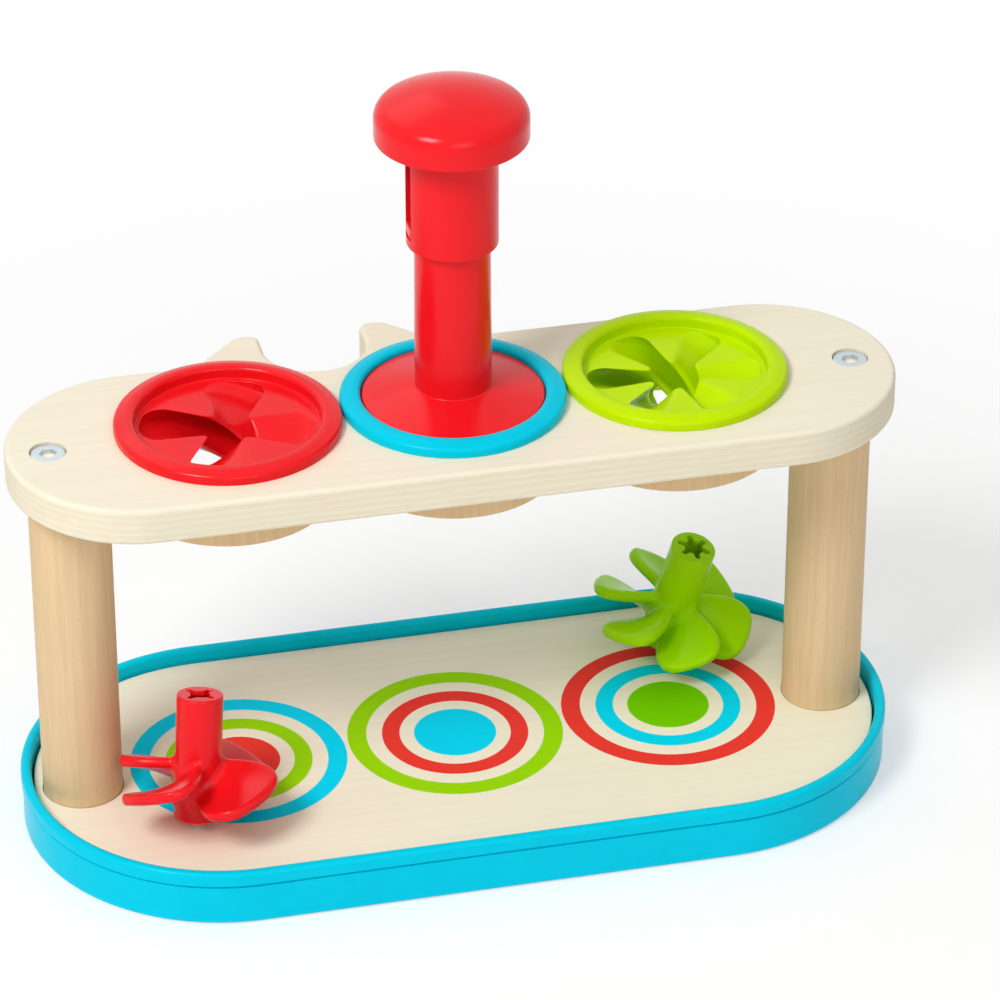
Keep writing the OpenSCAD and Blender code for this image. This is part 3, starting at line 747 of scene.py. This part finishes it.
class LAUNCHER_OT_bolts(bpy.types.Operator):
    """Makes the sunk shelf bolts and finishes the hidden bolts and inserts"""

    bl_idname = "launcher.bolts"
    bl_label = "Bolts"

    def execute(self, context):
        bottom, top = heights("shelf_bolts")
        head_x = high("shelf_bolts").x - HEAD_R
        head_low = top - HEAD_HEIGHT
        shank_r, end_r, end_bevel, cap_r = 3.0, 2.4, 0.6, 3.2
        corners = [
            (end_r, bottom, 0),
            (shank_r, bottom + end_bevel, 0.2),
            (shank_r, head_low, 0),
            (HEAD_R, head_low, 0.2),
            (HEAD_R, top, 0.5),
            (cap_r, top, 0),
        ]
        profile = rounded(corners, steps=4)
        hex_r, hex_depth, mouth_r, mouth_depth, over = 2.6, 4, 3.0, 0.3, 0.5
        key_hole = [(hex_r, top - hex_depth), (hex_r, top - mouth_depth), (mouth_r, top + over)]
        form = bmesh.new()
        cuts = bmesh.new()
        for side in (-1, 1):
            sweep(form, round_stations(side * head_x, 0, 64), profile)
            sweep(cuts, round_stations(side * head_x, 0, 6), key_hole)
        bolts = solid("flat_head_bolts", form)
        carve(bolts, cuts)
        dress(bolts, "zinc_plate", "stand", "shelf_bolts")
        for node in ("base_bolts", "post_inserts"):
            coat(frame["nodes"][node], "zinc_plate")
        return {"FINISHED"}


def cup_section(outer, top, face):
    """Section of a cup: upright rim with a shallow crown, recess and skirt, counter-clockwise."""
    inner_r = outer - RIM_WIDTH
    bore_r, skirt_wall = inner_r - CUP_LEDGE, 2.2
    skirt_r = bore_r + skirt_wall
    shoulder_drop, crest_inset, inner_drop = 1.1, 3.6, 0.1
    shoulder_round, crown_round = 1.5, 5.0
    bottom = low("blue_cup").z
    corners = [
        (bore_r, bottom, 0.5),
        (skirt_r, bottom, 0.5),
        (skirt_r, face, 0),
        (outer, face, 0.3),
        (outer, top - shoulder_drop, shoulder_round),
        (outer - crest_inset, top, crown_round),
        (inner_r, top - inner_drop, shoulder_round),
        (inner_r, face, 0.5),
        (bore_r, face, 0.4),
    ]
    return rounded(corners, steps=8, closed=True)


def vane_plan(count, bore_r):
    """Plan of one vane: a narrow round tip, straight sides and a flare into the skirt."""
    half = 180 / count
    hub_r, nose_r, tip_inset = 8.0, 1.5, 0.9
    slot_share, spread, overlap, root_depth = 0.53, 6.8, 0.3, 2.15
    slot = slot_share * half
    flare_r = bore_r + overlap - spread
    flare_end, flare_steps, side_steps, root_gap = 86, 10, 8, 2.5
    flare = []
    for k in range(flare_steps + 1):
        a = math.radians(flare_end * k / flare_steps)
        turn = math.radians(half - slot * math.cos(a))
        reach = flare_r + spread * math.sin(a)
        flare.append((reach * math.cos(turn), reach * math.sin(turn)))
    tip, start = Vector((hub_r + tip_inset, nose_r)), Vector(flare[0])
    side = [tuple(tip.lerp(start, k / side_steps)) for k in range(side_steps)] + flare
    root = half - root_gap
    crown = arc(0, 0, bore_r + root_depth, -root, root, 12)
    nose = arc(hub_r + nose_r, 0, nose_r, 110, 250, 8)
    return [(x, -y) for x, y in side] + crown + side[::-1] + nose


class LAUNCHER_OT_cups(bpy.types.Operator):
    """Makes the three cups with their helical slots"""

    bl_idname = "launcher.cups"
    bl_label = "Cups"

    def execute(self, context):
        sizes = context.scene.launcher_sizes
        face = high("shelf").z
        vane_drop, vane_levels = 0.05, 24
        vane_low, vane_top = face - sizes.vane_height / MM, face - vane_drop
        ease = sizes.vane_ease / MM
        cups = (
            ("red_cup", BLADES["red"], sizes.red_cup_turn, "red_gloss", "red_plastic"),
            ("blue_cup", BLADES["blue"], sizes.blue_cup_turn, "blue_satin", "blue_plastic"),
            ("green_cup", BLADES["green"], sizes.green_cup_turn, "lime_gloss", "lime_plastic"),
        )
        for node, count, turn, finish, slot in cups:
            centre = middle(node)
            outer = half_width(node)
            section = cup_section(outer, high(node).z, face)
            form = bmesh.new()
            sweep(form, round_stations(centre.x, centre.y, CUP_SEGMENTS), section, closed=True)
            twist = 2 * math.pi * sizes.vane_height / (count * sizes.blade_climb)
            plan = vane_plan(count, outer - RIM_WIDTH - CUP_LEDGE)
            spot = Matrix.Translation((centre.x, centre.y, 0))
            for i in range(count):
                vane = slab(form, plan, vane_low, vane_top, ease, twist, vane_levels)
                spin = Matrix.Rotation(turn + (i + 0.5) * 2 * math.pi / count - twist, 4, "Z")
                bmesh.ops.transform(form, matrix=spot @ spin, verts=vane)
            cup = solid("slotted_" + node, form)
            dress(cup, finish, "stand", node, crease=32)
        return {"FINISHED"}


class LAUNCHER_OT_plunger(bpy.types.Operator):
    """Makes the guide tube, the spring, the sleeve and the knob"""

    bl_idname = "launcher.plunger"
    bl_label = "Plunger"

    def execute(self, context):
        self.guide_tube()
        self.spring()
        self.sleeve()
        self.knob()
        coat(frame["nodes"]["drive_rod"], "nylon_satin")
        return {"FINISHED"}

    def guide_tube(self):
        """Coned plate, drafted tube and the two keys that hold the sleeve."""
        centre, plate_r, bottom, top = round_box("guide_tube")
        bore_r, tube_low_r, tube_top_r, rod_hole_r = 9.5, 11.85, 11.5, 4.8
        plate_edge, cone_rise, cap_height = 2.6, 4.0, 3.5
        soft, foot_round, plate_round = 0.3, 0.5, 0.6
        plate = bottom + plate_edge
        cap = top - cap_height
        corners = [
            (bore_r, bottom, soft),
            (plate_r, bottom, soft),
            (plate_r, plate, plate_round),
            (tube_low_r, plate + cone_rise, foot_round),
            (tube_top_r, top, foot_round),
            (rod_hole_r, top, soft),
            (rod_hole_r, cap, soft),
            (bore_r, cap, soft),
        ]
        section = rounded(corners, steps=6, closed=True)
        form = bmesh.new()
        sweep(form, round_stations(centre.x, centre.y, ROUND_SEGMENTS), section, closed=True)
        key_root, key_reach, key_half, key_round = 10.5, 13.6, 3.35, 0.4
        key_height, key_drop, key_ease = 3.4, 1.8, 0.35
        key_top = top - key_drop
        for side in (-1, 1):
            near, far = sorted((centre.x + side * key_root, centre.x + side * key_reach))
            corners = wall(near, far, centre.y - key_half, centre.y + key_half, [key_round] * 4)
            plan = rounded(corners, closed=True)
            slab(form, plan, key_top - key_height, key_top, key_ease)
        tube = solid("plate_and_tube", form)
        dress(tube, "red_gloss", "plunger", "guide_tube")

    def spring(self):
        """Helical wire of the return spring."""
        centre = middle("return_spring")
        bottom, top = heights("return_spring")
        wire, radius, turns = 0.5, 8.0, 8
        steps, sides = 40, 10
        rings = []
        form = bmesh.new()
        for i in range(turns * steps + 1):
            a = 2 * math.pi * i / steps
            z = bottom + wire + (top - bottom - 2 * wire) * i / (turns * steps)
            ring = []
            for k in range(sides):
                t = 2 * math.pi * k / sides
                reach = radius + wire * math.cos(t)
                x, y = centre.x + reach * math.cos(a), centre.y + reach * math.sin(a)
                ring.append(form.verts.new((x, y, z - wire * math.sin(t))))
            rings.append(ring)
        join_rings(form, rings)
        spring = solid("wire_spring", form)
        dress(spring, "zinc_plate", "plunger", "return_spring")
        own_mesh(spring)

    def sleeve(self):
        """Tube under the knob with a slot in each side."""
        centre, radius, bottom, top = round_box("sleeve")
        thickness = 2
        corners = wall(radius - thickness, radius, bottom, top, (0.4, 0.5, 0.2, 0.2))
        section = rounded(corners, steps=4, closed=True)
        sleeve = lathe("slotted_sleeve", centre, section, ROUND_SEGMENTS, closed=True)
        slot_half, slot_foot, slot_head, slot_round, reach = 3.75, 3, 4.2, 1.0, 20
        slot_low, slot_high = bottom + slot_foot, top - slot_head
        slot = wall(-slot_half, slot_half, slot_low, slot_high, [slot_round] * 4)
        plan = rounded(slot, closed=True)
        cuts = bmesh.new()
        rings = [[cuts.verts.new((x, centre.y + y, z)) for y, z in plan] for x in (-reach, reach)]
        join_rings(cuts, rings)
        carve(sleeve, cuts)
        dress(sleeve, "red_gloss", "push_knob", "sleeve")

    def knob(self):
        """Push knob: upright side, round shoulder, shallow crown and a hollow underside."""
        centre, radius, bottom, top = round_box("knob")
        shoulder_r, crown_r = 5.5, 45.0
        crown_z = top - crown_r
        shoulder_x = radius - shoulder_r
        shoulder_z = crown_z + math.sqrt((crown_r - shoulder_r) ** 2 - shoulder_x**2)
        meet = math.degrees(math.atan2(shoulder_z - crown_z, shoulder_x))
        seat_r, seat_depth, collar_r, collar_lift = 14.05, 4.2, 15.65, 0.4
        collar_z = bottom + collar_lift
        skin, hollow_drop = 2.5, 1
        wall_r, hollow_z = radius - skin, shoulder_z - hollow_drop
        profile = [(seat_r, bottom + seat_depth), (seat_r, collar_z), (collar_r, collar_z)]
        corners = [
            (collar_r, collar_z, 0),
            (collar_r, hollow_z, 1.5),
            (wall_r, hollow_z, 1.5),
            (wall_r, bottom, 0.5),
            (radius, bottom, 0.8),
            (radius, shoulder_z, 0),
        ]
        profile += rounded(corners)[1:-1]
        # The crown stops short of the axis, where a small cap closes it
        crown_end = 89.6
        profile += arc(shoulder_x, shoulder_z, shoulder_r, 0, meet, 16)
        profile += arc(0, crown_z, crown_r, meet, crown_end, 18)[1:]
        knob = lathe("push_cap", centre, profile, ROUND_SEGMENTS)
        dress(knob, "red_gloss", "push_knob", "knob")


def blade_rings(count, sizes):
    """Sections of one blade, each laid on the cylinder of its radius."""
    thick = sizes.blade_thickness / MM
    height = sizes.blade_height / MM
    mid = sizes.blade_start / MM + height / 2
    fillet = sizes.blade_fillet / MM
    lead = count * sizes.blade_climb / MM
    root_r, tip_r, root_cover = 5.45, 26.5, 0.4
    full_share, least_taper, least_rise = 0.9, 0.3, 0.001
    fillet_steps, blade_steps, flat_steps = 6, 16, 15
    reaches = [root_r, STEM_R - root_cover]
    reaches += [STEM_R + fillet * k / fillet_steps for k in range(fillet_steps + 1)]
    start = reaches[-1]
    for k in range(1, blade_steps + 1):
        reaches.append(start + (tip_r - start) * math.sin(math.pi / 2 * k / blade_steps))
    rings = []
    for r in reaches:
        share = (r - root_r) / (tip_r - root_r)
        # The blade keeps its thickness up to full_share of its reach and then thins to a round tip
        late = max(0.0, share - full_share) / (1 - full_share)
        taper = max(least_taper, math.sqrt(max(0.0, 1 - late**2)))
        hollow = max(0.0, min(fillet, fillet - (r - STEM_R)))
        flare = fillet - math.sqrt(fillet**2 - hollow**2)
        width = thick * taper + 2 * flare
        rise = (height - thick * taper) * max(least_rise, 1 - share**3) ** (1 / 3)
        pitch = math.atan(lead / (2 * math.pi * r))
        flat = rise / 2 / math.sin(pitch)
        spread = [flat * (2 * i / flat_steps - 1) for i in range(flat_steps + 1)]
        loop = [(s, -width / 2) for s in spread]
        loop += arc(flat, 0, width / 2, -90, 90, 8)[1:-1]
        loop += [(-s, width / 2) for s in spread]
        loop += arc(-flat, 0, width / 2, 90, 270, 8)[1:-1]
        ring = []
        for s, n in loop:
            turn = (s * math.cos(pitch) - n * math.sin(pitch)) / r
            z = mid + s * math.sin(pitch) + n * math.cos(pitch)
            ring.append((r * math.cos(turn), r * math.sin(turn), z))
        rings.append(ring)
    return rings


def stem_form():
    """A top's upright stem with its coned foot."""
    foot_z, foot_r, foot_cap_r, cone_z, top_cap_r = 1.4, 2.6, 1.7, 4, 5.6
    corners = [
        (foot_cap_r, foot_z, 0),
        (foot_r, foot_z, 0.2),
        (STEM_R, cone_z, 0.8),
        (STEM_R, STEM_TOP, 0.55),
        (top_cap_r, STEM_TOP, 0),
    ]
    profile = rounded(corners)
    form = bmesh.new()
    sweep(form, round_stations(0, 0, SLIM_SEGMENTS), profile)
    return form


def add_blades(piece, count, sizes):
    """Sets the blades round a stem."""
    form = bmesh.new()
    form.from_mesh(piece.data)
    rings = blade_rings(count, sizes)
    for i in range(count):
        spin = Matrix.Rotation(2 * math.pi * i / count, 3, "Z")
        blade = [[form.verts.new((spin @ Vector(p)) * MM) for p in ring] for ring in rings]
        faces = join_rings(form, blade)
        bmesh.ops.recalc_face_normals(form, faces=faces)
    form.to_mesh(piece.data)
    form.free()


def bore_form():
    """Round bore in a stem, under the mouth of its socket."""
    bore_r, bore_low, bore_top = 4.9, 26, 42.4
    form = bmesh.new()
    cylinder(form, 0, 0, bore_r, bore_low, bore_top)
    return form


def socket_form(count):
    """Star-shaped mouth of the socket in the end of a stem, wide enough for the ribbed rod."""
    arm = ((3.0, -0.98), (4.9, -0.85), (5.3, 0.0), (4.9, 0.85), (3.0, 0.98))
    core_r, mouth_depth, bevel_depth, over, bevel_share = 2.95, 2, 0.4, 0.4, 1.1
    plan = []
    step = 2 * math.pi / count
    for i in range(count):
        a = i * step
        along, across = Vector((math.cos(a), math.sin(a))), Vector((-math.sin(a), math.cos(a)))
        plan += [tuple(along * reach + across * side) for reach, side in arm]
        inner = a + step / 2
        plan.append((core_r * math.cos(inner), core_r * math.sin(inner)))
    rows = (
        (STEM_TOP - mouth_depth, 1.0),
        (STEM_TOP - bevel_depth, 1.0),
        (STEM_TOP + over, bevel_share),
    )
    form = bmesh.new()
    rings = [[form.verts.new((x * share, y * share, z)) for x, y in plan] for z, share in rows]
    join_rings(form, rings)
    return form


def leaning(name, turn):
    """Place of a loose top: its pivot's round end on the board, its stem along the joint's axis."""
    axis = Vector(joint(name)["axis"])
    pivot = Vector(joint(name)["pos_m"]) / MM
    toward = math.atan2(axis.y, axis.x)
    lean = math.acos(max(-1.0, min(1.0, axis.z)))
    pivot_end_r = 1.6
    return (
        Matrix.Translation(pivot)
        @ Matrix.Rotation(toward, 4, "Z")
        @ Matrix.Rotation(lean, 4, "Y")
        @ Matrix.Rotation(turn - toward, 4, "Z")
        @ Matrix.Translation((0, 0, -pivot_end_r))
    )


class LAUNCHER_OT_tops(bpy.types.Operator):
    """Makes the three bladed tops and finishes their pivots"""

    bl_idname = "launcher.tops"
    bl_label = "Tops"

    def execute(self, context):
        sizes = context.scene.launcher_sizes
        foot = low("blue_top_pivot").z
        blade_mid = foot + (sizes.blade_start + sizes.blade_height / 2) / MM
        sunk = (blade_mid - high("shelf").z) * MM / (BLADES["blue"] * sizes.blade_climb)
        upright = Matrix.Translation((middle("blue_top_pivot").x, middle("blue_top_pivot").y, foot))
        upright = upright @ Matrix.Rotation(sizes.blue_cup_turn + 2 * math.pi * sunk, 4, "Z")
        red_place = leaning("red_top_spin", sizes.red_top_turn)
        green_place = leaning("green_top_spin", sizes.green_top_turn)
        tops = (
            ("red_top", BLADES["red"], red_place, "red_gloss", "red_plastic"),
            ("blue_top", BLADES["blue"], upright, "blue_satin", "blue_plastic"),
            ("green_top", BLADES["green"], green_place, "leaf_satin", "leaf_plastic"),
        )
        for node, count, where, finish, slot in tops:
            top = solid("bladed_" + node, stem_form())
            carve(top, bore_form())
            carve(top, socket_form(count))
            add_blades(top, count, sizes)
            scaled_place = where.copy()
            scaled_place.translation *= MM
            top.data.transform(scaled_place)
            body = node.replace("_top", "_spinner")
            dress(top, finish, body, node, crease=42)
            coat(frame["nodes"][node + "_pivot"], "zinc_plate")
        return {"FINISHED"}


# Name, place in metres, side in metres and power in watts of each lamp
LAMPS = (
    ("key", (-1.0, -0.78, 1.5), 0.6, 20.8),
    ("fill", (0.1, -1.7, 0.9), 0.8, 4.3),
    ("back", (-0.3, 1.2, 1.4), 0.8, 1.5),
)
LAMP_AIM = (0, 0, 0.08)

# Camera: place and reach in metres, viewing direction, lens and sensor in millimetres
CAMERA_PLACE = (-0.2914, -1.3224, 0.9420)
CAMERA_AIM = (0.1913, 0.8281, -0.5270)
CAMERA_LENS = 185.65
CAMERA_SENSOR = 36
CAMERA_REACH = 50


class LAUNCHER_OT_stage(bpy.types.Operator):
    """Sets the pale floor, the soft light and the camera"""

    bl_idname = "launcher.stage"
    bl_label = "Stage"

    def execute(self, context):
        scene = context.scene
        scene.view_settings.view_transform = "Standard"
        self.floor()
        self.world(scene)
        for name, spot, side, watts in LAMPS:
            self.lamp(name, spot, side, watts)
        self.camera(scene)
        return {"FINISHED"}

    def seen(self, paint):
        """1 where a ray comes from the camera, a reflection or a clear surface."""
        rays = paint.add("ShaderNodeLightPath").socket.node.outputs
        kinds = ("Is Camera Ray", "Is Glossy Ray", "Is Transmission Ray")
        camera, glossy, clear = (Wire(paint, rays[kind]) for kind in kinds)
        return paint.add(
            "ShaderNodeMath", {"operation": "ADD", "use_clamp": True}, {0: camera + glossy, 1: clear}
        )

    def floor(self):
        """Pale floor that keeps the shadow near the launcher and shows as white further away."""
        paint = Paint("white_floor")
        place = paint.place()
        mottle = paint.noise(place, 0.02, 2)
        near_white, shadow_end, white_start = 0.42, 190, 480
        far = paint.ease(paint.distance(place), shadow_end, white_start)
        white = near_white + (1 - near_white) * far
        board = paint.add(
            "ShaderNodeBsdfDiffuse",
            inputs={"Color": paint.mix(mottle, (0.97, 0.97, 0.97), (0.99, 0.99, 0.99))},
        )
        glow = paint.add("ShaderNodeEmission", inputs={"Color": (1, 1, 1), "Strength": 1.0})
        share = self.seen(paint) * white
        surface = paint.add("ShaderNodeMixShader", inputs={0: share, 1: board, 2: glow})
        paint.add("ShaderNodeOutputMaterial", inputs={"Surface": surface})
        floor_half, floor_gap = 4000, 0.4
        form = bmesh.new()
        bmesh.ops.create_grid(form, x_segments=8, y_segments=8, size=floor_half)
        floor = solid("pale_floor", form)
        floor.location.z = -floor_gap * MM
        floor.data.materials.append(paint.material)

    def world(self, scene):
        """White surroundings where they are seen; as light, brighter above and fading downwards."""
        world = bpy.data.worlds.new("studio")
        world.use_nodes = True
        scene.world = world
        paint = Paint("studio", world.node_tree)
        up = paint.axes(paint.add("ShaderNodeTexCoord", output="Generated"))[2]
        lowest, rise, bright_height = 0.15, 0.53, 0.9
        level = lowest + rise * paint.ease(up, 0.0, bright_height)
        soft = paint.add("ShaderNodeBackground", inputs={"Color": (1, 1, 1), "Strength": level})
        white = paint.add("ShaderNodeBackground", inputs={"Color": (1, 1, 1), "Strength": 1.0})
        sky = paint.add("ShaderNodeMixShader", inputs={0: self.seen(paint), 1: soft, 2: white})
        paint.add("ShaderNodeOutputWorld", inputs={"Surface": sky})

    def lamp(self, name, spot, side, watts):
        """Square soft lamp aimed at the launcher."""
        light = bpy.data.lights.new(name, "AREA")
        light.size = side
        light.energy = watts
        lamp = bpy.data.objects.new(name, light)
        lamp.location = spot
        lamp.rotation_euler = (Vector(LAMP_AIM) - Vector(spot)).to_track_quat("-Z", "Y").to_euler()
        bpy.context.scene.collection.objects.link(lamp)

    def camera(self, scene):
        """Camera at the photograph's viewing angle."""
        data = bpy.data.cameras.new("camera")
        data.sensor_width = CAMERA_SENSOR
        data.lens = CAMERA_LENS
        data.clip_end = CAMERA_REACH
        camera = bpy.data.objects.new("camera", data)
        camera.location = CAMERA_PLACE
        camera.rotation_euler = Vector(CAMERA_AIM).normalized().to_track_quat("-Z", "Y").to_euler()
        scene.collection.objects.link(camera)
        scene.camera = camera


class LAUNCHER_PT_panel(bpy.types.Panel):
    """Lists the launcher's pieces and settings"""

    bl_idname = "LAUNCHER_PT_panel"
    bl_label = "Spinning top launcher"
    bl_space_type = "VIEW_3D"
    bl_region_type = "UI"
    bl_category = "Launcher"

    def draw(self, context):
        column = self.layout.column()
        for operator in OPERATORS:
            column.operator(operator.bl_idname)
        for group in (context.scene.launcher_sizes, context.scene.launcher_colours):
            box = self.layout.box()
            for name in group.__annotations__:
                box.prop(group, name)


OPERATORS = (
    LAUNCHER_OT_finishes,
    LAUNCHER_OT_base,
    LAUNCHER_OT_posts,
    LAUNCHER_OT_shelf,
    LAUNCHER_OT_bolts,
    LAUNCHER_OT_cups,
    LAUNCHER_OT_plunger,
    LAUNCHER_OT_tops,
    LAUNCHER_OT_stage,
)
CLASSES = (LauncherSizes, LauncherColours, *OPERATORS, LAUNCHER_PT_panel)


def register():
    """Adds the settings, operators and panel."""
    for item in CLASSES:
        bpy.utils.register_class(item)
    bpy.types.Scene.launcher_sizes = PointerProperty(type=LauncherSizes)
    bpy.types.Scene.launcher_colours = PointerProperty(type=LauncherColours)


def unregister():
    """Removes the settings, operators and panel."""
    del bpy.types.Scene.launcher_colours
    del bpy.types.Scene.launcher_sizes
    for item in reversed(CLASSES):
        bpy.utils.unregister_class(item)


def main():
    """Builds the launcher."""
    register()
    bpy.ops.launcher.finishes()
    bpy.ops.launcher.base()
    bpy.ops.launcher.posts()
    bpy.ops.launcher.shelf()
    bpy.ops.launcher.bolts()
    bpy.ops.launcher.cups()
    bpy.ops.launcher.plunger()
    bpy.ops.launcher.tops()
    bpy.ops.launcher.stage()


if __name__ == "__main__":
    main()
